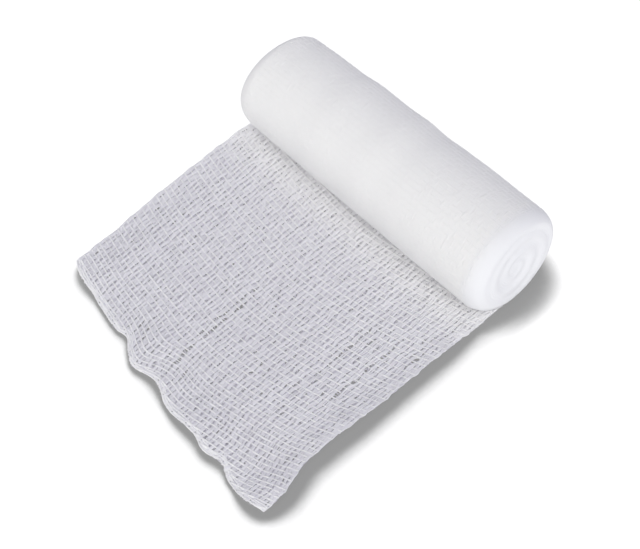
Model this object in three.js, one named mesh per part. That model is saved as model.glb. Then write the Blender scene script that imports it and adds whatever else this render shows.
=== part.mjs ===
// Rolled first aid dressing: one strip of open-weave gauze, wound up on itself,
// with the last stretch of the strip lying out in front of the roll.
//
// Millimetres, +Z up. X runs along the roll, the loose end runs towards -Y, and the
// origin is on the surface that the roll lies on, under the middle of the roll.

import * as THREE from "three";

// The cloth
const clothThickness = 1;
const clothGap = 0.3;

// The roll

// The two ends. Each is rounded over, and leans out a little towards its front lower edge.
const leftEnd = { place: -38.2, outwards: -1, roundAcross: 4.2, roundAlong: 3.6, lean: 1.2 };
const rightEnd = { place: 38.6, outwards: 1, roundAcross: 4.6, roundAlong: 3.6, lean: 0.6 };
const settle = 0.4; // how far the soft roll has sunk on to its flat spot
const turnFall = 0.42; // how much nearer the middle the outer face is after one turn
const stepPlace = -2; // where the outer turn leaves the roll, along Y
const stepFadesAt = 0.7; // share of the radius where the step has gone from the end faces
const coarseTurnPitch = 3.8; // coarse turns raised on the end faces, each of many thin ones
const coarseTurnHeight = 0.9;
const coarseTurnPhase = 0.6;
const coarseTurnsRise = { from: 0.5, to: 3 }; // distances from the middle of the wind
const coarseTurnsFade = { from: 9, to: 11.5 };
const dishDepth = 0.5; // how far the middle of an end face lies back
const dishRadius = 7;

// The outer radius at places along the roll. It is wound a little tighter at its left
// end and bulges past the middle.
const rollSections = [
  { along: -38.2, radius: 12.4 },
  { along: -33, radius: 12.55 },
  { along: -27, radius: 12.7 },
  { along: -20, radius: 12.75 },
  { along: -13, radius: 13.05 },
  { along: -5, radius: 13 },
  { along: 1, radius: 13.15 },
  { along: 7, radius: 13 },
  { along: 13, radius: 13.15 },
  { along: 20, radius: 13.25 },
  { along: 28, radius: 13.2 },
  { along: 33, radius: 13.2 },
  { along: 38.6, radius: 13.1 },
];

// The loose end's outline, seen from above. reach is the place along -Y, out the place along X.
const leftEdge = [
  { out: -38.2, reach: 2.3 },
  { out: -38.7, reach: 9 },
  { out: -38, reach: 19 },
  { out: -37.2, reach: 28 },
  { out: -36.2, reach: 40 },
  { out: -34.7, reach: 52 },
  { out: -33.2, reach: 63 },
];
const cutEnd = [
  { out: -33.2, reach: 63 },
  { out: -30.5, reach: 64.5 },
  { out: -23.4, reach: 65.7 },
  { out: -17.5, reach: 67.1 },
  { out: -13.6, reach: 67.7 },
  { out: -11.4, reach: 67.5 },
  { out: -8.8, reach: 69.8 },
  { out: -3.2, reach: 71.1 },
  { out: 0.6, reach: 69.8 },
  { out: 6, reach: 71.1 },
  { out: 11.5, reach: 72.4 },
  { out: 18.6, reach: 72.7 },
  { out: 22.8, reach: 73.6 },
  { out: 26.2, reach: 72.7 },
  { out: 31, reach: 74.2 },
  { out: 36, reach: 74.9 },
  { out: 41.4, reach: 74.2 },
];
const rightEdge = [
  { out: 37.7, reach: 2.3 },
  { out: 38, reach: 12 },
  { out: 38.1, reach: 27 },
  { out: 38.5, reach: 42 },
  { out: 38.3, reach: 56 },
  { out: 38.5, reach: 60.5 },
  { out: 39.7, reach: 64.6 },
  { out: 41.1, reach: 69 },
  { out: 41.4, reach: 74.2 },
];

// Soft swellings where the loose end stands off the surface. A swelling is at about half its
// height at the distance long, along the strip, or wide, across it, and ends at twice that.
const swellings = [
  { name: "pucker by the cut", out: -7, reach: 66.5, long: 6, wide: 4.4, height: 1.9 },
  { name: "second pucker", out: 3, reach: 69.5, long: 5, wide: 3.2, height: 1.3 },
  { name: "flared corner", out: 41.5, reach: 73, long: 7, wide: 5, height: 1.9 },
  { name: "raised right edge", out: 38.8, reach: 51, long: 13, wide: 3.6, height: 1.6 },
  { name: "belly of the cut end", out: 19, reach: 71, long: 6, wide: 7, height: 0.9 },
  { name: "lifted left corner", out: -32, reach: 63, long: 7, wide: 6, height: 1.1 },
  { name: "left edge", out: -38.5, reach: 30, long: 14, wide: 3, height: 0.5 },
];

const swellingEnd = 2;

// How finely the faces are divided
const stepsAround = 56;
const stepsAlongRoll = 16;
const stepsOverRounding = 4;
const stepsOverFace = 9;
const stepsAcrossSheet = 40;
const stepsAlongSheet = 30;

const wholeTurn = 2 * Math.PI;
const samePlace = 1e-6;

// Value at a place in a table of rows, easing from row to row.
function easedValue(rows, placeKey, valueKey, place) {
  if (place <= rows[0][placeKey]) return rows[0][valueKey];
  for (let i = 1; i < rows.length; i++) {
    const before = rows[i - 1];
    const after = rows[i];
    if (place > after[placeKey]) continue;
    const eased = THREE.MathUtils.smoothstep(place, before[placeKey], after[placeKey]);
    return THREE.MathUtils.lerp(before[valueKey], after[valueKey], eased);
  }
  return rows[rows.length - 1][valueKey];
}

// A point of the roll. turn goes from 0 under the roll, by the back and over the top,
// to 1 under the roll again. share is 1 on the outer face and 0 at the middle of the wind.
// The step between the first turn and the next fades out over the rounding of the ends.
function rollPoint(along, turn, share) {
  const radius = easedValue(rollSections, "along", "radius", along);
  const middleHeight = radius - settle;
  const angle = Math.atan2(stepPlace, middleHeight) + turn * wholeTurn;
  const fall = turnFall * turn * THREE.MathUtils.smoothstep(share, stepFadesAt, 1);

  // The outer turn lies on the surface, and the next one on the cloth that runs off under it.
  const under = turn < 0.5 ? 0 : clothThickness + clothGap;
  const downwards = Math.cos(angle);
  const toFloor = downwards > 0 ? (middleHeight - under) / downwards : Infinity;

  const reach = Math.min((radius - fall) * share, toFloor);
  return new THREE.Vector3(along, reach * Math.sin(angle), middleHeight - reach * downwards);
}

// How far the coarse turns stand out of an end face, at a distance from the middle of the wind.
function coarseTurns(fromMiddle, turn) {
  const ridge = Math.cos(wholeTurn * (fromMiddle / coarseTurnPitch + turn - coarseTurnPhase));
  const risen = THREE.MathUtils.smoothstep(fromMiddle, coarseTurnsRise.from, coarseTurnsRise.to);
  const faded = THREE.MathUtils.smoothstep(fromMiddle, coarseTurnsFade.from, coarseTurnsFade.to);
  const dish = dishDepth * (1 - THREE.MathUtils.smoothstep(fromMiddle, 0, dishRadius));
  return (coarseTurnHeight / 2) * ridge * risen * (1 - faded) - dish;
}

// The places where rings are laid over one end, from the middle of its face to the side of
// the roll: inset is measured back from the end along the roll.
function endStations({ place, roundAcross, roundAlong }) {
  const radius = easedValue(rollSections, "along", "radius", place);
  const stations = [];
  const faceShare = 1 - roundAcross / radius;
  for (let i = 1; i < stepsOverFace; i++) {
    stations.push({ share: (faceShare * i) / stepsOverFace, inset: 0 });
  }
  for (let i = 0; i <= stepsOverRounding; i++) {
    const lean = (Math.PI / 2) * (i / stepsOverRounding);
    stations.push({
      share: 1 - (roundAcross * (1 - Math.sin(lean))) / radius,
      inset: roundAlong * (1 - Math.cos(lean)),
    });
  }
  return stations;
}

function ringAt(along, share) {
  const ring = [];
  for (let i = 0; i <= stepsAround; i++) ring.push(rollPoint(along, i / stepsAround, share));
  return ring;
}

// The rings over one end, from the middle of its face outwards, where the coarse turns stand
// out and the end leans.
function endRings(end) {
  const radius = easedValue(rollSections, "along", "radius", end.place);
  const rings = [];
  for (const { share, inset } of endStations(end)) {
    const ring = ringAt(end.place - end.outwards * inset, share);
    for (const [i, point] of ring.entries()) {
      const frontLow = (radius - settle - point.z - point.y) / (Math.SQRT2 * radius);
      const raised = coarseTurns(radius * share, i / stepsAround);
      point.x += end.outwards * (raised + end.lean * frontLow);
    }
    rings.push(ring);
  }
  return rings;
}

// A closed body of rings laid one after another along X, each running from under the roll
// by the back, with a point at the middle of either end. Where a ring's last point meets its
// first, because the step has faded out there, the faces between them are left out.
function closedRings(rings, firstPoint, lastPoint) {
  const count = rings[0].length;
  const points = [firstPoint, ...rings.flat(), lastPoint];
  const at = (ring, i) => 1 + ring * count + (i % count);
  const faces = [];
  const triangle = (a, b, c) => {
    const together = (i, j) => points[i].distanceTo(points[j]) < samePlace;
    if (!together(a, b) && !together(b, c) && !together(c, a)) faces.push(a, b, c);
  };
  for (let i = 0; i < count; i++) {
    triangle(0, at(0, i + 1), at(0, i));
    for (let ring = 1; ring < rings.length; ring++) {
      triangle(at(ring - 1, i), at(ring - 1, i + 1), at(ring, i + 1));
      triangle(at(ring - 1, i), at(ring, i + 1), at(ring, i));
    }
    triangle(points.length - 1, at(rings.length - 1, i), at(rings.length - 1, i + 1));
  }
  return new THREE.BufferGeometry().setFromPoints(points).setIndex(faces);
}

function woundRoll() {
  const sideStart = leftEnd.place + leftEnd.roundAlong;
  const sideEnd = rightEnd.place - rightEnd.roundAlong;
  const sideRings = [];
  for (let i = 1; i < stepsAlongRoll; i++) {
    const along = THREE.MathUtils.lerp(sideStart, sideEnd, i / stepsAlongRoll);
    sideRings.push(ringAt(along, 1));
  }
  const rings = [...endRings(leftEnd), ...sideRings, ...endRings(rightEnd).reverse()];
  const leftMiddle = rollPoint(leftEnd.place + dishDepth, 0, 0);
  const rightMiddle = rollPoint(rightEnd.place - dishDepth, 0, 0);
  return closedRings(rings, leftMiddle, rightMiddle);
}

function edgeCurve(rows) {
  return new THREE.SplineCurve(rows.map(({ out, reach }) => new THREE.Vector2(out, -reach)));
}

// Height of the loose end's underside over the surface.
function swelling(x, y) {
  let height = 0;
  for (const { out, reach, long, wide, height: top } of swellings) {
    const across = (x - out) / wide;
    const along = (y + reach) / long;
    const share = Math.max(0, 1 - Math.hypot(across, along) ** 2 / swellingEnd ** 2);
    height += top * share * share;
  }
  return height;
}

// A point in the middle of the sheet's outline is blended from its four edges: across goes
// from the left edge to the right one, along from the roll to the cut end.
function sheetPlan() {
  const left = edgeCurve(leftEdge);
  const right = edgeCurve(rightEdge);
  const cut = edgeCurve(cutEnd);
  const rootLeft = left.getPointAt(0);
  const rootRight = right.getPointAt(0);
  const cutLeft = left.getPointAt(1);
  const cutRight = right.getPointAt(1);

  return (across, along) => {
    const sides = left.getPointAt(along).lerp(right.getPointAt(along), across);
    const root = rootLeft.clone().lerp(rootRight, across);
    const ends = root.clone().lerp(cut.getPointAt(across), along);
    const cutChord = cutLeft.clone().lerp(cutRight, across);
    return sides.add(ends).sub(root.lerp(cutChord, along));
  };
}

// A closed body between two grids of points, top and bottom, joined by a strip round the rim.
function closedSheet(top, bottom) {
  const rows = top.length;
  const columns = top[0].length;
  const points = [...top.flat(), ...bottom.flat()];
  const upper = (row, column) => row * columns + column;
  const lower = (row, column) => rows * columns + upper(row, column);
  const faces = [];
  const quad = (a, b, c, d) => faces.push(a, b, c, a, c, d);

  for (let row = 1; row < rows; row++) {
    for (let column = 1; column < columns; column++) {
      quad(
        upper(row, column - 1),
        upper(row, column),
        upper(row - 1, column),
        upper(row - 1, column - 1),
      );
      quad(
        lower(row - 1, column - 1),
        lower(row - 1, column),
        lower(row, column),
        lower(row, column - 1),
      );
    }
  }

  const wall = (rowA, columnA, rowB, columnB) =>
    quad(lower(rowA, columnA), lower(rowB, columnB), upper(rowB, columnB), upper(rowA, columnA));
  for (let column = 1; column < columns; column++) {
    wall(0, column, 0, column - 1);
    wall(rows - 1, column - 1, rows - 1, column);
  }
  for (let row = 1; row < rows; row++) {
    wall(row - 1, 0, row, 0);
    wall(row, columns - 1, row - 1, columns - 1);
  }
  return new THREE.BufferGeometry().setFromPoints(points).setIndex(faces);
}

function looseSheet() {
  const plan = sheetPlan();
  const top = [];
  const bottom = [];
  for (let row = 0; row <= stepsAlongSheet; row++) {
    top.push([]);
    bottom.push([]);
    for (let column = 0; column <= stepsAcrossSheet; column++) {
      const { x, y } = plan(column / stepsAcrossSheet, row / stepsAlongSheet);
      const height = swelling(x, y);
      bottom[row].push(new THREE.Vector3(x, y, height));
      top[row].push(new THREE.Vector3(x, y, height + clothThickness));
    }
  }
  return closedSheet(top, bottom);
}

function gauzePiece(name, geometry, colour) {
  geometry.computeVertexNormals();
  const gauze = new THREE.MeshStandardMaterial({ color: colour, roughness: 0.95, metalness: 0 });
  const piece = new THREE.Mesh(geometry, gauze);
  piece.name = name;
  return piece;
}

const dressing = new THREE.Group();
dressing.add(gauzePiece("wound_roll", woundRoll(), 0xe9e9ec));
dressing.add(gauzePiece("loose_end", looseSheet(), 0xcbcacf));

export default dressing;
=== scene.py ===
"""The looks of a rolled first aid dressing: open-weave gauze wound up on itself, with the last stretch of the
strip lying out in front of the roll.

Sizes are in millimetres until a mesh is made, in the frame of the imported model: X along the roll, -Y towards
the cut end of the loose end, and Z up from the surface that the dressing rests on.
"""

import math

import bmesh
import bpy
import numpy as np
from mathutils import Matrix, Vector


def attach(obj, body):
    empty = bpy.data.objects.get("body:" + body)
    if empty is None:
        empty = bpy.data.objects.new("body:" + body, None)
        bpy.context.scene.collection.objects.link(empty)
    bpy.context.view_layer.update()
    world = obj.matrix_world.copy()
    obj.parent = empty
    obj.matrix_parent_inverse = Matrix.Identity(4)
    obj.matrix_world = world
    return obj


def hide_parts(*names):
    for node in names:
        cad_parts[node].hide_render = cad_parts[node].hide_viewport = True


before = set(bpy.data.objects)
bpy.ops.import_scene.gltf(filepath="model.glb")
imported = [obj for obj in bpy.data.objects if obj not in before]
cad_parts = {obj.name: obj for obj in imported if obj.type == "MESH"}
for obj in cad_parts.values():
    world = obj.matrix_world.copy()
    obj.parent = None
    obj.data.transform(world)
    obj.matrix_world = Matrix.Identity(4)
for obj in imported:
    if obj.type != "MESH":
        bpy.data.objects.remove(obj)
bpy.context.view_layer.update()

MM = 0.001
WHOLE_TURN = 2 * math.pi

# The roll
ROLL_ALONG = (-38.2, -33, -27, -20, -13, -5, 1, 7, 13, 20, 28, 33, 38.6)
ROLL_RADIUS = (12.4, 12.55, 12.7, 12.75, 13.05, 13, 13.15, 13, 13.15, 13.25, 13.2, 13.2, 13.1)
SETTLE = 0.4  # how far the soft roll has sunk on to its flat spot
MEAN_RADIUS = 13  # of the outer turn
TURN_FALL = 0.42  # how much nearer the middle the outer face is after one turn
STEP_PLACE = -2  # where the outer turn leaves the roll, along Y
STEP_FADES_AT = 0.7  # share of the radius where the step has gone from the end faces
ROOM_FOR_CLOTH = 1.3  # the loose end and its clearance, where the roll lies on it

# The two ends. Each is rounded over, by one distance across its face and another along the roll, and crisper
# at one side. Each leans out a little at the foot of its front.
LEFT_END = {"place": -38.2, "outwards": -1, "across": 4.2, "crisper": 0.6, "along": 3.6, "lean": 1.2}
RIGHT_END = {"place": 38.6, "outwards": 1, "across": 4.6, "crisper": 2.8, "along": 3.6, "lean": 0.6}
CRISPEST_AT = 0.36  # the turn where the ends are least rounded, at the back of the top
COARSE_TURN_PITCH = 3.8  # soft ridges on the end faces, each of many thin turns
COARSE_TURN_HEIGHT = 0.3
COARSE_TURN_PHASE = 0.6
COARSE_TURNS_RISE = (0.5, 3)  # distances from the middle of the wind
COARSE_TURNS_FADE = (9, 11.5)
DISH_DEPTH = 0.35  # how far the middle of an end face lies back
DISH_RADIUS = 7
FINE_TURN_PITCH = 0.62
FINE_TURN_HEIGHT = 0.05
FINE_TURNS_RISE = (0.5, 2)  # distances from the middle of the wind
FINE_TURNS_FADE = (3, 1)  # distances in from the roll's side

# The loose end's outline from above, as places along X and distances along -Y
LEFT_EDGE = ((2.3, 9, 19, 28, 40, 52, 63), (-38.2, -38.7, -38, -37.2, -36.2, -34.7, -33.2))
RIGHT_EDGE = (
    (2.3, 12, 27, 42, 56, 60.5, 64.6, 69, 74.2),
    (37.7, 38, 38.1, 38.5, 38.3, 38.5, 39.7, 41.1, 41.4),
)
CUT_END = (
    (-33.2, -30.5, -23.4, -17.5, -13.6, -10.6, -8.4, -6.2, -4.2, -1.7, 0.6, 2.6, 5.3, 7.3, 11.5, 18.6, 22.8,
     26.2, 31, 36, 41.4),
    (63, 64.5, 65.7, 67.1, 67.6, 67.2, 68.7, 70.2, 71.1, 70.7, 70.1, 70, 71, 71.9, 72.5, 72.7, 73.6,
     72.7, 74.2, 74.9, 74.2),
)

# Soft swellings where the loose end stands off the surface: place, size along and across the strip, height
SWELLINGS = (
    {"at": (-4.5, -65.5), "long": 4.5, "wide": 3.8, "height": 0.8},
    {"at": (4, -70), "long": 4, "wide": 3.2, "height": 0.7},
    {"at": (41.5, -73), "long": 7, "wide": 5, "height": 1.6},
    {"at": (38.8, -51), "long": 13, "wide": 3.6, "height": 1.6},
    {"at": (39.2, -24), "long": 9, "wide": 3, "height": 0.9},
    {"at": (19, -71), "long": 6, "wide": 7, "height": 0.9},
    {"at": (-32, -63), "long": 7, "wide": 6, "height": 1.1},
    {"at": (-38.5, -30), "long": 14, "wide": 3, "height": 0.5},
)
SWELLING_END = 2  # a swelling ends at this many times its size

# Where the weave is pulled towards the cut end or drawn back from it: place along X and -Y, how far the pull
# spreads before and after it both ways, and how far the threads shift
PULLS = (
    {"at": (-4.6, 66.5), "wide": (5.5, 3.4), "long": (6.5, 9), "towards_cut": 2.6},
    {"at": (3.6, 66), "wide": (3, 4), "long": (5, 6), "towards_cut": -0.9},
)

# The weave. Warp threads run along the strip and weft threads across it.
STRIP_WIDTH = 76
WARP_COUNT = 70
WEFT_PITCH = ((0, 20, 34, 48, 58, 80), (1.42, 1.47, 1.6, 1.5, 1.24, 1.22))  # by the distance along the strip
WARP_PLACE_DRIFT = 0.07  # how far each warp thread strays from its neighbour's place
WEFT_PITCH_SPREAD = 0.08
SELVEDGE_TIGHTNESS = 0.012  # the warp threads lie closer together at the two edges of the strip
SELVEDGE_NARROWNESS = 40
POINTS_PER_CROSSING = 2

# The threads: width, height, how far they rise over each other, how far they wander to the side, and how
# uneven their thickness is. The weft lies a little higher than the warp in the loose end.
LOOSE_WARP = {"wide": 0.39, "high": 0.18, "crimp": 0.1, "wander": 0.11, "slub": 0.16}
LOOSE_WEFT = {"wide": 0.35, "high": 0.24, "crimp": 0.08, "wander": 0.07, "slub": 0.14, "lift": 0.09}
WOUND_WARP = {"wide": 0.42, "high": 0.2, "crimp": 0.03, "wander": 0.09, "slub": 0.16}
WOUND_WEFT = {"wide": 0.36, "high": 0.22, "crimp": 0.03, "wander": 0.1, "slub": 0.1, "lift": 0.0}
WARP_SIDES = 4
WEFT_SIDES = 6
THICKNESS_SPREAD = 0.08  # from thread to thread
WARP_STRANDS = 3  # each warp thread is loosely spun, and lies as strands side by side
STRAND_APART = 0.26
STRAND_WANDER = 0.08
WARP_WAVE, STRAND_WAVE, WEFT_WAVE, SLUB_WAVE = 9, 5, 23, 7  # lengths of the gentle waves in the threads
WAVES_SHORTER = (1, 2.3, 4.1)  # a wandering adds up waves that are this many times as short, and as slight
CUT_END_THREADS = (0.12, 0.42, 0.8, 1.25)  # distances from the cut end of the threads that slipped to it
CUT_END_WANDER = 0.12
CUT_END_WAVE = 11
CUT_END_STEPS = 220
CUT_END_TRIES = 8  # moves that bring these threads to their distance from the cut end

# Loose fibres, in two pieces of as many each
FIBRE_COUNT = 15500
FIBRES_NEARER_ROLL = 1.25  # over 1, more of the fibres lie towards the roll
FIBRE_WIDTH, FIBRE_HEIGHT = 0.34, 0.1
FIBRE_LENGTHS = (0.8, 3.4)
FIBRE_BEND = 0.5
FIBRE_LEVELS = (-0.28, 0.02)  # heights over the middle of the cloth
FIBRE_THICKNESS = (0.6, 1.2)  # share of the width and height
FIBRE_TAPER = (0.7, 1, 0.4)  # thickness at the start, middle and end of a fibre
FIBRE_SIDES = 3

# How far the threads and fibres stop short of the cut end, or pass it
WARP_FRAY = (-0.15, 0.15)
WEFT_FRAY = (0.05, 0.3)
FIBRE_FRAY = (-0.3, 0.3)
FEWEST_THREAD_POINTS = 4  # a shorter remnant of a thread is left out
FEWEST_FIBRE_POINTS = 3

# How the loose end lies
CLOTH_MIDDLE = 0.45  # height of the middle of the cloth over the surface
LOOSE_START = -6  # the loose end starts here, under the roll
LOOSE_STOP = 78  # past what shows, because the cut end is cut to its outline
HIDDEN_START = 2.15  # nothing of the loose end lies nearer the middle of the roll
RISE_TO_ROLL = 0.3  # how far the loose end rises to the underside of the roll
RISES_OVER = (2, 9)
# How far each weft thread is bowed towards the cut end, by the place across the strip
BOW = ((-38, -28, -20, -13, 0, 10, 20, 30, 38), (0, 2.1, 3.3, 4.1, 5.2, 4.6, 2.9, 0.6, -1.6))

# How the outer turn lies on the roll
WOUND_LENGTH = WHOLE_TURN * MEAN_RADIUS
WOUND_TURNS = (0.045, 0.915)  # the part of the outer turn that is clear of the surface
SUNK = 0.05  # how deep the middle of the outer turn's threads lies in the roll
SUNK_AT_EDGE = 0.8  # how much deeper it lies where the strip's edges turn in to the ends
ROUNDING_SEEN = 0.96  # the threads follow this much of the rounding into the ends
KEPT_FROM_ENDS = 0.6  # no thread of the outer turn lies nearer the ends of the roll

# Rows of wider openings between two warp threads: place along X, and where it begins and ends along -Y
PARTINGS = (
    {"at": -1.1, "from": 37.5, "to": 56, "wide": 0.5},
    {"at": 0.6, "from": 43, "to": 60.5, "wide": 0.42},
    {"at": 1.4, "from": 60, "to": 64, "wide": 0.5},
    {"at": 14.2, "from": 50.5, "to": 56, "wide": 0.62},
    {"at": 23, "from": 26.5, "to": 40.5, "wide": 0.36},
    {"at": 30.2, "from": 24.5, "to": 36.5, "wide": 0.5},
    {"at": 30, "from": 37, "to": 45, "wide": 0.6},
    {"at": 35.6, "from": 24.5, "to": 29, "wide": 0.42},
    {"at": -12.9, "from": 62.3, "to": 64.6, "wide": 0.5},
    {"at": -11.4, "from": 61, "to": 63.5, "wide": 0.36},
    {"at": -9.4, "from": 60.6, "to": 62.8, "wide": 0.42},
    {"at": 2.4, "from": 64, "to": 67, "wide": 0.8},
    {"at": 5.2, "from": 64.6, "to": 67, "wide": 0.45},
    {"at": 10.4, "from": 64.6, "to": 66.4, "wide": 0.4},
)
PARTING_ENDS = 0.8  # distance over which a parting opens and closes
PARTING_FADE = 2.4  # distance over which the warp threads beside a parting close up again
PARTING_EDGE = 0.12  # distance over which the threads change from one side of a parting to the other
FIBRE_CLEARANCE = 0.22  # no loose fibres lie this near the middle of a parting

# Seeds of the random draws
WEAVE_SEED = 7
FRAY_SEED = 8
WOUND_SEED = 10

# Steps of the roll's body
STEPS_AROUND = 240
STEPS_ALONG = 110
STEPS_OVER_ROUNDING = 10
STEPS_OVER_FACE = 44
JOINED_WITHIN = 0.001  # the first and last points of a turn are joined where they meet
FAR = 1e6
NEXT_TO_NOTHING = 1e-6


def eased(value, start, end):
    """0 before start, 1 after end, and an even ease between them."""
    share = np.clip((value - start) / (end - start), 0, 1)
    return share * share * (3 - 2 * share)


def eased_table(value, places, values):
    """The value at a place in a table, easing from row to row."""
    row = np.clip(np.searchsorted(places, value) - 1, 0, len(places) - 2)
    places, values = np.asarray(places, float), np.asarray(values, float)
    share = eased(value, places[row], places[row + 1])
    return values[row] + (values[row + 1] - values[row]) * share


def smooth_curve(value, places, values):
    """A smooth curve through the rows of a table, straight on past its two ends."""
    places, values = np.asarray(places, float), np.asarray(values, float)
    slopes = np.gradient(values, places)
    row = np.clip(np.searchsorted(places, value) - 1, 0, len(places) - 2)
    width = places[row + 1] - places[row]
    share = np.clip((value - places[row]) / width, 0, 1)
    past = value - (places[row] + share * width)
    rest = 1 - share
    return (
        values[row] * rest * rest * (1 + 2 * share)
        + values[row + 1] * share * share * (1 + 2 * rest)
        + width * share * rest * (slopes[row] * rest - slopes[row + 1] * share)
        + past * slopes[row]
    )


def wandering(rng, count, place, reach, wave):
    """One gentle random wave for each of count threads, at the places of their points."""
    total = np.zeros((count, place.shape[-1]))
    for shorter in WAVES_SHORTER:
        phase = rng.uniform(0, WHOLE_TURN, (count, 1))
        total += np.sin(place * WHOLE_TURN * shorter / wave + phase) / shorter
    return total * reach


def make_piece(name, vertices, corners, sizes, finish):
    """A smooth mesh object from vertices in millimetres, the corners of all faces in a row, and how many
    corners each face has."""
    mesh = bpy.data.meshes.new(name)
    mesh.vertices.add(len(vertices))
    mesh.vertices.foreach_set("co", (vertices * MM).astype(np.float32).ravel())
    mesh.loops.add(len(corners))
    mesh.loops.foreach_set("vertex_index", corners.astype(np.int32))
    mesh.polygons.add(len(sizes))
    mesh.polygons.foreach_set("loop_start", (np.cumsum(sizes) - sizes).astype(np.int32))
    mesh.update(calc_edges=True)
    mesh.shade_smooth()
    mesh.materials.append(finish)
    piece = bpy.data.objects.new(name, mesh)
    bpy.context.scene.collection.objects.link(piece)
    return piece


def tubes(bundles, sides):
    """Vertices, corners and sizes of closed tubes. A bundle holds threads with as many points each: the
    points, the widths and heights at them, and the level direction that each thread's width lies along."""
    turn = WHOLE_TURN * np.arange(sides) / sides
    up = np.array([0, 0, 1.0])
    vertices, corners, sizes, count = [], [], [], 0
    for points, wide, high, across in bundles:
        threads, steps = wide.shape
        heading = points[:, -1] - points[:, 0]
        facing = np.sign((np.cross(across, up) * heading).sum(1))
        across = (across * np.where(facing < 0, -1, 1)[:, None])[:, None, None]
        rings = (
            points[:, :, None]
            + across * (wide[:, :, None, None] / 2 * np.cos(turn)[:, None])
            + up * (high[:, :, None, None] / 2 * np.sin(turn)[:, None])
        )
        vertices.append(rings.reshape(-1, 3))
        first = count + np.arange(threads)[:, None, None] * steps * sides
        ring = first + np.arange(steps - 1)[:, None] * sides
        side = np.arange(sides)
        after = (side + 1) % sides
        next_ring = ring + sides
        corners.append(np.stack([ring + side, ring + after, next_ring + after, next_ring + side], -1).ravel())
        corners.append((first + side[::-1]).ravel())
        corners.append((first + (steps - 1) * sides + side).ravel())
        sizes += [np.full(threads * (steps - 1) * sides, 4), np.full(2 * threads, sides)]
        count += threads * steps * sides
    return np.concatenate(vertices), np.concatenate(corners), np.concatenate(sizes)


class Weave:
    """A flat plain weave, from start to stop along the strip: x runs across it and y back along it, so that
    y is less and less towards the cut end, and z out of it. Its threads are bundles for tubes()."""

    def __init__(self, seed, start, stop):
        self.rng = np.random.default_rng(seed)
        self.start, self.stop = start, stop
        pitch = STRIP_WIDTH / WARP_COUNT
        drift = np.cumsum(self.rng.normal(0, WARP_PLACE_DRIFT, WARP_COUNT))
        drift -= np.linspace(drift[0], drift[-1], WARP_COUNT)
        place = (np.arange(WARP_COUNT) + 0.5) * pitch - STRIP_WIDTH / 2 + drift
        edge_share = np.abs(place) * 2 / STRIP_WIDTH
        self.warp_places = place * (1 + SELVEDGE_TIGHTNESS * (1 - edge_share**SELVEDGE_NARROWNESS))
        places = [start]
        while places[-1] < stop:
            uneven = 1 + self.rng.normal(0, WEFT_PITCH_SPREAD)
            places.append(places[-1] + np.interp(places[-1], *WEFT_PITCH) * uneven)
        self.weft_places = np.array(places[1:])

    def warps(self, yarn):
        """The strands of the warp threads."""
        steps = len(self.weft_places) * POINTS_PER_CROSSING
        along = np.linspace(self.start, self.stop, steps)[None, :].repeat(WARP_COUNT, 0)
        index = np.interp(along[0], self.weft_places, np.arange(len(self.weft_places)))
        over = np.cos(math.pi * (index[None, :] + np.arange(WARP_COUNT)[:, None]))
        middle = self.warp_places[:, None] + wandering(self.rng, WARP_COUNT, along, yarn["wander"], WARP_WAVE)
        strands = []
        for strand in range(WARP_STRANDS):
            beside = STRAND_APART * (strand - (WARP_STRANDS - 1) / 2)
            x = middle + beside + wandering(self.rng, WARP_COUNT, along, STRAND_WANDER, STRAND_WAVE)
            strands.append(self.bundle(x, along, over * yarn["crimp"], along, yarn, (1.0, 0, 0)))
        return strands

    def wefts(self, yarn):
        """The weft threads, each from one edge of the strip to the other."""
        count = len(self.weft_places)
        steps = WARP_COUNT * POINTS_PER_CROSSING
        x = np.linspace(-STRIP_WIDTH / 2, STRIP_WIDTH / 2, steps)[None, :].repeat(count, 0)
        index = np.interp(x[0], self.warp_places, np.arange(WARP_COUNT))
        over = -np.cos(math.pi * (index[None, :] + np.arange(count)[:, None]))
        along = self.weft_places[:, None] + wandering(self.rng, count, x, yarn["wander"], WEFT_WAVE)
        return [self.bundle(x, along, yarn["lift"] + over * yarn["crimp"], x, yarn, (0, 1.0, 0))]

    def fibres(self, count):
        """Fine fibres that stand loose from the threads and cross the openings between them."""
        rng = self.rng
        beside, share = rng.uniform((-STRIP_WIDTH / 2, 0), (STRIP_WIDTH / 2, 1), (count, 2)).T
        along = self.start + (self.stop - self.start) * share**FIBRES_NEARER_ROLL
        start = np.stack([beside, along], -1)
        heading = rng.uniform(0, WHOLE_TURN, count)
        bent = heading + rng.normal(0, FIBRE_BEND, count)
        half = rng.uniform(*FIBRE_LENGTHS, count)[:, None] / 2
        middle = start + half * np.stack([np.cos(heading), np.sin(heading)], -1)
        end = middle + half * np.stack([np.cos(bent), np.sin(bent)], -1)
        flat = np.stack([start, middle, end], 1)
        flat[..., 0] = np.clip(flat[..., 0], -STRIP_WIDTH / 2, STRIP_WIDTH / 2)
        height = rng.uniform(*FIBRE_LEVELS, (count, 3))
        points = np.stack([flat[..., 0], -flat[..., 1], height], -1)
        thickness = rng.uniform(*FIBRE_THICKNESS, (count, 1)) * np.array(FIBRE_TAPER)
        across = np.stack([np.sin(heading), np.cos(heading), 0 * heading], -1)
        return [(points, FIBRE_WIDTH * thickness, FIBRE_HEIGHT * thickness, across)]

    def bundle(self, x, along, z, run, yarn, across):
        """Threads through places of the strip, thicker and thinner along their run."""
        count = len(x)
        thickness = 1 + wandering(self.rng, count, run, yarn["slub"], SLUB_WAVE)
        thickness *= 1 + self.rng.normal(0, THICKNESS_SPREAD, (count, 1))
        points = np.stack([x, -along, z], -1)
        return points, yarn["wide"] * thickness, yarn["high"] * thickness, np.tile(across, (count, 1))


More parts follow.
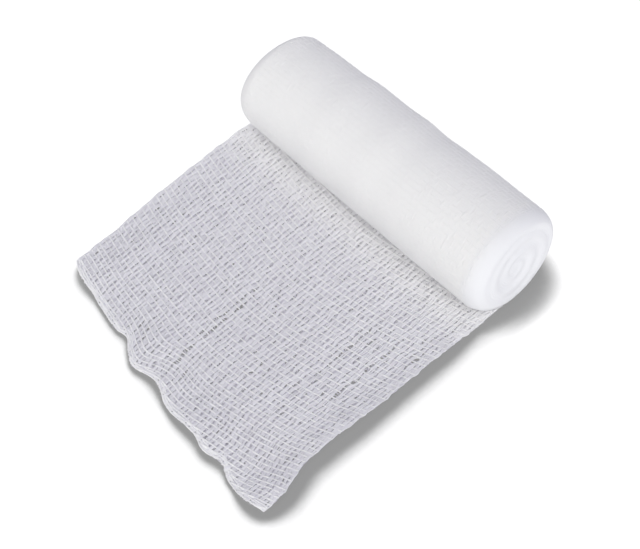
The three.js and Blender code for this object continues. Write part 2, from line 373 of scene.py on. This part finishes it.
def swelling_height(x, y):
    """How far the loose end stands off the surface at a place."""
    height = np.zeros_like(x)
    for swelling in SWELLINGS:
        out, reach = swelling["at"]
        distance = np.hypot((x - out) / swelling["wide"], (y - reach) / swelling["long"])
        shape = np.clip(1 - (distance / SWELLING_END) ** 2, 0, None)
        height += swelling["height"] * shape * shape
    return height


def hump(value, middle, before, after):
    """A bell that falls off over one distance before its middle and another after it."""
    width = np.where(value < middle, before, after)
    return np.exp(-(((value - middle) / width) ** 2))


def partings(across, reach, warp_places):
    """For each parting, how far beside it the places of the flat strip are, and how wide it is open there."""
    between = (warp_places[1:] + warp_places[:-1]) / 2
    for parting in PARTINGS:
        middle = (parting["from"] + parting["to"]) / 2
        left, right = smooth_curve(middle, *LEFT_EDGE), smooth_curve(middle, *RIGHT_EDGE)
        place = ((parting["at"] - left) / (right - left) - 0.5) * STRIP_WIDTH
        opened = eased(reach, parting["from"] - PARTING_ENDS, parting["from"] + PARTING_ENDS)
        closed = eased(reach, parting["to"] - PARTING_ENDS, parting["to"] + PARTING_ENDS)
        yield across - between[np.argmin(np.abs(between - place))], parting["wide"] * opened * (1 - closed)


def lay_out(points, warp_places):
    """Places of the flat strip, laid out on the surface in front of the roll."""
    across, along, out = points[..., 0], -points[..., 1], points[..., 2]
    reach = along + smooth_curve(across, *BOW)
    for beside, opening in partings(across, reach, warp_places):
        aside = np.tanh(beside / PARTING_EDGE) * np.exp(-np.abs(beside) / PARTING_FADE)
        across = across + aside * opening / 2
    share = across / STRIP_WIDTH + 0.5
    left = smooth_curve(reach, *LEFT_EDGE)
    right = smooth_curve(reach, *RIGHT_EDGE)
    x = left + (right - left) * share
    for pull in PULLS:
        out_at, reach_at = pull["at"]
        strength = hump(x, out_at, *pull["wide"]) * hump(reach, reach_at, *pull["long"])
        reach = reach + pull["towards_cut"] * strength
    y = -reach
    raised = RISE_TO_ROLL * (1 - eased(reach, *RISES_OVER))
    return np.stack([x, y, CLOTH_MIDDLE + raised + swelling_height(x, y) + out], -1)


def clear_of_partings(bundle, warp_places):
    """The fibres of a bundle that don't cross a parting."""
    flat = bundle[0]
    across, reach = flat[..., 0], -flat[..., 1] + smooth_curve(flat[..., 0], *BOW)
    clear = np.ones(len(flat), bool)
    for beside, opening in partings(across, reach, warp_places):
        clear &= ~((np.abs(beside) < FIBRE_CLEARANCE) & (opening > 0)).any(1)
    return tuple(part[clear] for part in bundle)


def inside_outline(placed, margin):
    """How far inside the outline a place lies: in front of the roll, and a margin from the cut end."""
    x, reach = placed[..., 0], -placed[..., 1]
    return np.minimum(reach - HIDDEN_START, smooth_curve(x, *CUT_END) - margin - reach)


def runs(kept, shortest):
    """The stretches of a row of True and False that are True for at least so many places."""
    edges = np.flatnonzero(np.diff(np.concatenate([[0], kept.astype(int), [0]])))
    return [(a, b) for a, b in zip(edges[::2], edges[1::2]) if b - a >= shortest]


def cut_to_outline(bundles, rng, fray, warp_places, fewest):
    """Flat threads cut where they pass the outline of the loose end, a little unevenly."""
    cut = []
    for points, wide, high, across in bundles:
        margin = rng.uniform(*fray, (len(points), 1))
        inside = inside_outline(lay_out(points, warp_places), margin)
        kept = inside > 0
        whole = kept.all(1)
        if whole.any():
            cut.append((points[whole], wide[whole], high[whole], across[whole]))
        for thread in np.flatnonzero(~whole & (kept.sum(1) >= fewest)):
            for first, last in runs(kept[thread], fewest):
                part = (slice(thread, thread + 1), slice(first, last))
                stretch = points[part].copy()
                for end, last_in, first_out in ((0, first, first - 1), (-1, last - 1, last)):
                    if 0 <= first_out < len(kept[thread]):
                        depth = inside[thread, last_in]
                        share = depth / (depth - inside[thread, first_out])
                        stretch[0, end] += share * (points[thread, first_out] - points[thread, last_in])
                cut.append((stretch, wide[part], high[part], across[part[:1]]))
    return cut


def cut_end_threads(weave, yarn):
    """Weft threads that have slipped together along the cut end."""
    count = len(CUT_END_THREADS)
    x = np.linspace(-STRIP_WIDTH / 2, STRIP_WIDTH / 2, CUT_END_STEPS)[None, :].repeat(count, 0)
    bundle = weave.bundle(x, 0 * x, 0 * x, x, yarn, (0, 1.0, 0))
    flat = bundle[0]
    flat[..., 1] = -LOOSE_STOP
    margin = np.array(CUT_END_THREADS)[:, None] + wandering(weave.rng, count, x, CUT_END_WANDER, CUT_END_WAVE)
    for _ in range(CUT_END_TRIES):
        flat[..., 1] -= inside_outline(lay_out(flat, weave.warp_places), margin)
    return bundle


def loose_end(warp_finish, weft_finish, fibre_finish):
    """The single layer of gauze in front of the roll, thread by thread."""
    weave = Weave(WEAVE_SEED, LOOSE_START, LOOSE_STOP)
    rng = np.random.default_rng(FRAY_SEED)
    fibres, haze = (
        [clear_of_partings(bundle, weave.warp_places) for bundle in weave.fibres(FIBRE_COUNT)]
        for _ in range(2)
    )
    warps, wefts = weave.warps(LOOSE_WARP), weave.wefts(LOOSE_WEFT)
    pieces = []
    for name, bundles, fray, sides, fewest, finish in (
        ("loose_end_warp", warps, WARP_FRAY, WARP_SIDES, FEWEST_THREAD_POINTS, warp_finish),
        ("loose_end_weft", wefts, WEFT_FRAY, WEFT_SIDES, FEWEST_THREAD_POINTS, weft_finish),
        ("loose_end_fibres", fibres, FIBRE_FRAY, FIBRE_SIDES, FEWEST_FIBRE_POINTS, fibre_finish),
        ("loose_end_haze", haze, FIBRE_FRAY, FIBRE_SIDES, FEWEST_FIBRE_POINTS, fibre_finish),
    ):
        cut = cut_to_outline(bundles, rng, fray, weave.warp_places, fewest)
        if bundles is wefts:
            cut.append(cut_end_threads(weave, LOOSE_WEFT))
        vertices, corners, sizes = tubes(cut, sides)
        pieces.append(make_piece(name, lay_out(vertices, weave.warp_places), corners, sizes, finish))
    return pieces


def roll_point(along, turn, share):
    """A point of the roll: turn goes from 0 under it, by the back and over the top, to 1, and share from 0
    at the middle of the wind to 1 on the outer face."""
    radius = eased_table(along, ROLL_ALONG, ROLL_RADIUS)
    middle_height = radius - SETTLE
    angle = np.arctan2(STEP_PLACE, middle_height) + turn * WHOLE_TURN
    fall = TURN_FALL * turn * eased(share, STEP_FADES_AT, 1)
    in_front = turn >= 0.5
    room = np.where(in_front, ROOM_FOR_CLOTH, 0)
    downwards = np.cos(angle)
    to_floor = (middle_height - room) / np.maximum(downwards, NEXT_TO_NOTHING)
    to_floor = np.where(downwards > NEXT_TO_NOTHING, to_floor, FAR)
    reach = np.minimum((radius - fall) * share, to_floor)
    return np.stack([along + 0 * turn, reach * np.sin(angle), middle_height - reach * downwards], -1)


def rounding(turn, end):
    """How far the rounding of an end reaches in towards the middle of its face."""
    return end["across"] - end["crisper"] * (1 + np.cos(WHOLE_TURN * (turn - CRISPEST_AT))) / 2


def end_inset(place, turn, end):
    """How far nearer the middle the roll's side lies at a place along X, where it rounds into an end."""
    inside = end["place"] - end["outwards"] * end["along"]
    lean = np.clip((place - inside) * end["outwards"] / end["along"], 0, ROUNDING_SEEN)
    return rounding(turn, end) * (1 - np.sqrt(1 - lean * lean)) + SUNK_AT_EDGE * lean**2


def leaned_out(point, end):
    """How far a place near an end of the roll is moved out along X, most at the foot of the end's front."""
    radius = eased_table(end["place"], ROLL_ALONG, ROLL_RADIUS)
    inset = (end["place"] - point[..., 0]) * end["outwards"]
    front_low = (radius - SETTLE - point[..., 2] - point[..., 1]) / (math.sqrt(2) * radius)
    return end["outwards"] * end["lean"] * front_low * (1 - eased(inset, 0, end["along"]))


def wind_on(points):
    """Places of the flat strip's outer turn, wound on the roll with the strip's under side out."""
    along = np.clip(points[..., 0], LEFT_END["place"] + KEPT_FROM_ENDS, RIGHT_END["place"] - KEPT_FROM_ENDS)
    turn, out = points[..., 1] / WOUND_LENGTH, -points[..., 2]
    radius = eased_table(along, ROLL_ALONG, ROLL_RADIUS)
    inset = end_inset(along, turn, LEFT_END) + end_inset(along, turn, RIGHT_END)
    placed = roll_point(along, turn, 1 + (out - inset - SUNK) / radius)
    placed[..., 0] += leaned_out(placed, LEFT_END) + leaned_out(placed, RIGHT_END)
    return placed


def wound_threads(finish):
    """The threads of the outer turn, which show as a faint weave on the roll."""
    start, stop = (turn * WOUND_LENGTH for turn in WOUND_TURNS)
    weave = Weave(WOUND_SEED, -stop, -start)
    pieces = []
    for name, bundles, sides in (
        ("wound_roll_warp", weave.warps(WOUND_WARP), WARP_SIDES),
        ("wound_roll_weft", weave.wefts(WOUND_WEFT), WEFT_SIDES),
    ):
        vertices, corners, sizes = tubes(bundles, sides)
        pieces.append(make_piece(name, wind_on(vertices), corners, sizes, finish))
    return pieces


def end_rings(end):
    """Rings over one end of the roll, from the middle of its face to its side."""
    turn = np.linspace(0, 1, STEPS_AROUND + 1)
    radius = eased_table(end["place"], ROLL_ALONG, ROLL_RADIUS)
    round_by = rounding(turn, end)
    face_share = 1 - round_by / radius
    stations = [(face_share * i / STEPS_OVER_FACE, 0) for i in range(1, STEPS_OVER_FACE)]
    for i in range(STEPS_OVER_ROUNDING + 1):
        lean = math.pi / 2 * i / STEPS_OVER_ROUNDING
        stations.append((1 - round_by * (1 - math.sin(lean)) / radius, end["along"] * (1 - math.cos(lean))))
    rings = []
    for share, inset in stations:
        ring = roll_point(end["place"] - end["outwards"] * inset, turn, share)
        distance = radius * share
        ridge = np.cos(WHOLE_TURN * (distance / COARSE_TURN_PITCH + turn - COARSE_TURN_PHASE))
        risen = eased(distance, *COARSE_TURNS_RISE) * (1 - eased(distance, *COARSE_TURNS_FADE))
        dish = DISH_DEPTH * (1 - eased(distance, 0, DISH_RADIUS))
        fine = np.abs(np.sin(math.pi * (distance / FINE_TURN_PITCH + turn)))
        fine_fade = 1 - eased(distance, *(radius - inside for inside in FINE_TURNS_FADE))
        fine_share = eased(distance, *FINE_TURNS_RISE) * fine_fade
        raised = COARSE_TURN_HEIGHT / 2 * ridge * risen - dish - FINE_TURN_HEIGHT * (1 - fine) * fine_share
        raised = raised * (1 - eased(inset, 0, end["along"]))
        ring[:, 0] += end["outwards"] * raised + leaned_out(ring, end)
        rings.append(ring)
    return rings


def roll_body(finish):
    """The wound roll: rings laid one after another along X, closed at the middle of either end."""
    turn = np.linspace(0, 1, STEPS_AROUND + 1)
    left, right = end_rings(LEFT_END), end_rings(RIGHT_END)
    start = LEFT_END["place"] + LEFT_END["along"]
    stop = RIGHT_END["place"] - RIGHT_END["along"]
    barrel = [roll_point(along, turn, 1.0) for along in np.linspace(start, stop, STEPS_ALONG + 1)[1:-1]]
    rings = left + barrel + right[::-1]
    count = STEPS_AROUND + 1
    ring = np.arange(len(rings) - 1)[:, None] * count
    side = np.arange(count)
    after = (side + 1) % count
    next_ring = ring + count
    quads = np.stack([ring + side, ring + after, next_ring + after, next_ring + side], -1)
    first, last = len(rings) * count, len(rings) * count + 1
    tail = (len(rings) - 1) * count
    caps = [(first + 0 * side, after, side), (last + 0 * side, tail + side, tail + after)]
    corners = np.concatenate([quads.ravel()] + [np.stack(cap, -1).ravel() for cap in caps])
    sizes = np.concatenate([np.full(quads[..., 0].size, 4), np.full(2 * count, 3)])
    vertices = np.concatenate(rings + [[rings[0].mean(0)], [rings[-1].mean(0)]])
    body = make_piece("wound_roll_body", vertices, corners, sizes, finish)
    shape = bmesh.new()
    shape.from_mesh(body.data)
    bmesh.ops.remove_doubles(shape, verts=shape.verts, dist=JOINED_WITHIN * MM)
    shape.to_mesh(body.data)
    shape.free()
    return body


class Value:
    """An output of a node, with arithmetic that adds Math nodes."""

    def __init__(self, finish, socket):
        self.finish, self.socket = finish, socket

    def maths(self, operation, *values):
        """A Math node's result, from its operation and its values in order."""
        return self.finish.node("ShaderNodeMath", {"operation": operation}, dict(enumerate(values))).value()

    def least(self, other):
        return self.maths("MINIMUM", self, other)

    def __add__(self, other):
        return self.maths("ADD", self, other)

    def __sub__(self, other):
        return self.maths("SUBTRACT", self, other)

    def __rsub__(self, other):
        return self.maths("SUBTRACT", other, self)

    def __mul__(self, other):
        return self.maths("MULTIPLY", self, other)

    __radd__, __rmul__ = __add__, __mul__


# The sockets of a Mix node that mixes colours
MIXED_FROM, MIXED_WITH, MIXED = 6, 7, 2


class Node:
    """A node of a finish."""

    def __init__(self, finish, node):
        self.finish, self.node = finish, node

    def value(self, output=0):
        return Value(self.finish, self.node.outputs[output])


class Finish:
    """The nodes of a material, or of the studio's walls."""

    def __init__(self, owner):
        self.owner = owner
        owner.use_nodes = True
        self.tree = owner.node_tree
        self.tree.nodes.clear()

    def node(self, kind, settings=None, inputs=None):
        """A node of a kind, with its settings, and values or links for its sockets."""
        made = self.tree.nodes.new(kind)
        for key, setting in (settings or {}).items():
            setattr(made, key, setting)
        for key, given in (inputs or {}).items():
            if isinstance(given, Value):
                self.tree.links.new(given.socket, made.inputs[key])
            else:
                made.inputs[key].default_value = given
        return Node(self, made)

    def blend(self, share, shade, other_shade):
        """The colour that is a share of the way from one to the other."""
        inputs = {"Factor": share, MIXED_FROM: shade, MIXED_WITH: other_shade}
        return self.node("ShaderNodeMix", {"data_type": "RGBA"}, inputs).value(MIXED)

    def ease(self, value, start, end):
        """0 before start, 1 after end, and an even ease between them."""
        inputs = {"Value": value, "From Min": start, "From Max": end}
        return self.node("ShaderNodeMapRange", {"interpolation_type": "SMOOTHSTEP"}, inputs).value()

    def show(self, surface, output="ShaderNodeOutputMaterial"):
        """What the nodes belong to, now that it shows this surface."""
        self.node(output, None, {"Surface": surface})
        return self.owner


def colour(red, green, blue):
    return (red, green, blue, 1)


THREAD_GRAIN = 9000.0  # scales of the fine unevenness in single threads and in the wound cloth
WOUND_GRAIN = 5000.0
BROAD_GRAIN = 180.0
FINE_SHARE = 0.6  # of the fine grain in the cotton's shade, the rest being the broad one's
GRAIN_HEIGHT = 0.1


def noise(finish, place, scale, detail):
    """A cloudy pattern of values between 0 and 1."""
    inputs = {"Vector": place, "Scale": scale, "Detail": detail}
    return finish.node("ShaderNodeTexNoise", None, inputs).value("Fac")


def cotton(name, shade, deep_shade, grain, other_shade, way, start, stop):
    """Bleached cotton: soft and matt, with a fine uneven grain of fibres, and easing into another shade from
    start to stop along X or Y, a shade painted in for how the light falls there."""
    finish = Finish(bpy.data.materials.new(name))
    place = finish.node("ShaderNodeTexCoord").value("Object")
    fine = noise(finish, place, grain, 3.0)
    broad = noise(finish, place, BROAD_GRAIN, 2.0)
    mixed = finish.blend(fine * FINE_SHARE + broad * (1 - FINE_SHARE), deep_shade, shade)
    along = finish.node("ShaderNodeSeparateXYZ", None, {0: place}).value(way)
    # how far the painted lighting has eased in, from start to stop
    painted_lighting_share = finish.ease(along, start * MM, stop * MM)
    relief = {"Strength": 0.4, "Distance": GRAIN_HEIGHT * MM, "Height": fine}
    bump = finish.node("ShaderNodeBump", None, relief).value()
    surface = finish.node(
        "ShaderNodeBsdfPrincipled",
        None,
        {
            "Base Color": finish.blend(painted_lighting_share, mixed, other_shade),
            "Roughness": 0.95,
            "Normal": bump,
            "Specular IOR Level": 0.2,
            "Sheen Weight": 0.15,
            "Sheen Roughness": 0.5,
        },
    ).value()
    return finish.show(surface)


FLOOR_SIZE = 6  # in metres
FLOOR_SHADE = 0.3
FLOOR_GLOW = 2.9
SHADOW_SHADE = 0.285  # how much of the floor's shade is left in the dressing's soft shadow
SHADOWS = (  # the way from the shadow to the dressing, and how far the shadow reaches
    {"towards": (-0.84, 0.5, 0.22), "reach": 6},
    {"towards": (-0.75, -0.6, 0.3), "reach": 9},
)
SHADOW_FROM = (0.765, 0.972)  # open sky that counts as full shadow and as none, beside the thin loose end
SHADOW_BY_ROLL_FROM = (0.58, 0.93)  # the same beside the roll
ROLL_SHADOW_FADES = (16, 6)  # distances in front of the roll's middle between which one becomes the other


def plain_floor():
    """The pale surface that the dressing lies on, with the dressing's close, soft shadow."""
    finish = Finish(bpy.data.materials.new("plain_floor"))
    place = finish.node("ShaderNodeTexCoord").value("Object")
    y = finish.node("ShaderNodeSeparateXYZ", None, {0: place}).value("Y")
    # near the roll the painted shadow takes its own limits
    painted_near_roll = finish.ease(y, *(-distance * MM for distance in ROLL_SHADOW_FADES))
    dark, clear = (
        painted_near_roll * (near_roll - elsewhere) + elsewhere
        for near_roll, elsewhere in zip(SHADOW_BY_ROLL_FROM, SHADOW_FROM)
    )
    lights = []
    for shadow in SHADOWS:
        facing = finish.node("ShaderNodeCombineXYZ", None, dict(zip("XYZ", shadow["towards"]))).value()
        inputs = {"Distance": shadow["reach"] * MM, "Normal": facing}
        sky = finish.node("ShaderNodeAmbientOcclusion", {"samples": 24}, inputs).value("AO")
        lights.append(finish.ease(sky, dark, clear))
    shadow = 1 - lights[0].least(lights[1])
    grey = (1 - shadow * (1 - SHADOW_SHADE)) * FLOOR_SHADE
    shade = finish.node("ShaderNodeCombineColor", None, {"Red": grey, "Green": grey, "Blue": grey}).value()
    surface = finish.node(
        "ShaderNodeBsdfPrincipled",
        None,
        {
            "Base Color": shade,
            "Roughness": 1.0,
            "Specular IOR Level": 0.0,
            "Emission Color": shade,
            "Emission Strength": FLOOR_GLOW,
        },
    ).value()
    bpy.ops.mesh.primitive_plane_add(size=FLOOR_SIZE, location=(0, 0, 0))
    floor = bpy.context.active_object
    floor.name = "floor"
    floor.data.materials.append(finish.show(surface))


# The camera, at the photograph's viewing angle
CAMERA_TURN = 47.606
CAMERA_HEIGHT = 51.78
CAMERA_DISTANCE = 380
CAMERA_AIM = (0, -24, 8)
LENS = 98.26
SENSOR_WIDTH = 36
CAMERA_SHIFT = (0.0160, -0.0593)
CAMERA_SEES = (0.01, 20)  # nearest and furthest, in metres


def way_to(turn, height):
    """The way to a place at a turn round the dressing and a height above it, in degrees."""
    turn, height = math.radians(turn), math.radians(height)
    return Vector((math.sin(turn) * math.cos(height), -math.cos(turn) * math.cos(height), math.sin(height)))


def aimed(kind, name, turn, height, distance, aim):
    """A camera or light, placed by its turn round the aim and its height above it, in degrees."""
    back = way_to(turn, height)
    thing = bpy.data.objects.new(name, kind)
    bpy.context.scene.collection.objects.link(thing)
    thing.location = (Vector(aim) + back * distance) * MM
    thing.rotation_euler = back.to_track_quat("Z", "Y").to_euler()
    return thing


def camera():
    """The camera that sees the dressing as the photograph does."""
    lens = bpy.data.cameras.new("camera")
    lens.lens = LENS
    lens.sensor_width = SENSOR_WIDTH
    lens.shift_x, lens.shift_y = CAMERA_SHIFT
    lens.clip_start, lens.clip_end = CAMERA_SEES
    seen = aimed(lens, "camera", CAMERA_TURN, CAMERA_HEIGHT, CAMERA_DISTANCE, CAMERA_AIM)
    bpy.context.scene.camera = seen


def soft_sun(name, turn, height, softness, strength, tint):
    """An even light from far away, so large that its shadows are soft."""
    lamp = bpy.data.lights.new(name, "SUN")
    lamp.color = tint
    lamp.angle = math.radians(softness)
    lamp.energy = strength
    return aimed(lamp, name, turn, height, CAMERA_DISTANCE, CAMERA_AIM)


def studio_walls(strength, turn, height, unevenness, tint):
    """Light from all round, stronger from the side given in degrees."""
    walls = Finish(bpy.data.worlds.new("studio"))
    side = walls.node("ShaderNodeTexCoord").value("Generated")
    inputs = {0: side, 1: way_to(turn, height)}
    facing = walls.node("ShaderNodeVectorMath", {"operation": "DOT_PRODUCT"}, inputs).value("Value")
    light = {"Color": tint, "Strength": facing * (strength * unevenness) + strength}
    background = walls.node("ShaderNodeBackground", None, light).value()
    bpy.context.scene.world = walls.show(background, "ShaderNodeOutputWorld")


bpy.context.scene.view_settings.view_transform = "Standard"

camera()
studio_walls(strength=0.28, turn=199, height=5, unevenness=0.75, tint=colour(0.95, 0.94, 1.10))
soft_sun("key_light", turn=40, height=48, softness=60, strength=2.14, tint=(1.0, 1.0, 0.968))
plain_floor()

painted_near_roll = {"way": "Y", "start": -20, "stop": -9}  # painted light: the loose end is painted whiter towards the roll, to lift the shade that falls there
painted_shade_on_end = {"way": "X", "start": 33, "stop": 37.5}  # painted shade: the roll's right end face is painted a little darker and cooler, for the shade on it
# White cotton, painted a little darker and lilac than the weft: painted shade on the loose end's warp threads.
warp_cotton_painted_shade = cotton(
    "warp_cotton_painted_shade",
    shade=colour(0.9, 0.893, 0.937),
    deep_shade=colour(0.835, 0.828, 0.876),
    grain=THREAD_GRAIN,
    # painted light towards the roll
    other_shade=colour(0.965, 0.96, 0.98),
    **painted_near_roll,
)
weft_cotton = cotton(
    "weft_cotton",
    shade=colour(0.985, 0.985, 0.99),
    deep_shade=colour(0.955, 0.955, 0.975),
    grain=THREAD_GRAIN,
    # painted light towards the roll
    other_shade=colour(0.99, 0.985, 0.99),
    **painted_near_roll,
)
# White cotton, painted darker and lilac: painted shade in the openings between the loose end's threads, where
# the fibres lie.
fibre_cotton_painted_shade = cotton(
    "fibre_cotton_painted_shade",
    shade=colour(0.84, 0.82, 0.9),
    deep_shade=colour(0.77, 0.75, 0.84),
    grain=THREAD_GRAIN,
    # painted light towards the roll
    other_shade=colour(0.92, 0.91, 0.95),
    **painted_near_roll,
)
wound_cotton = cotton(
    "wound_cotton",
    shade=colour(0.936, 0.934, 0.93),
    deep_shade=colour(0.911, 0.909, 0.911),
    grain=WOUND_GRAIN,
    # painted shade on the roll's right end face
    other_shade=colour(0.875, 0.88, 0.91),
    **painted_shade_on_end,
)

loose_pieces = loose_end(warp_cotton_painted_shade, weft_cotton, fibre_cotton_painted_shade)
wound_pieces = [roll_body(wound_cotton)] + wound_threads(wound_cotton)

for pieces, solid, slot in (
    (loose_pieces, "loose_end", "single_gauze"),
    (wound_pieces, "wound_roll", "wound_gauze"),
):
    for piece in pieces:
        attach(piece, "root")
        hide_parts(solid)
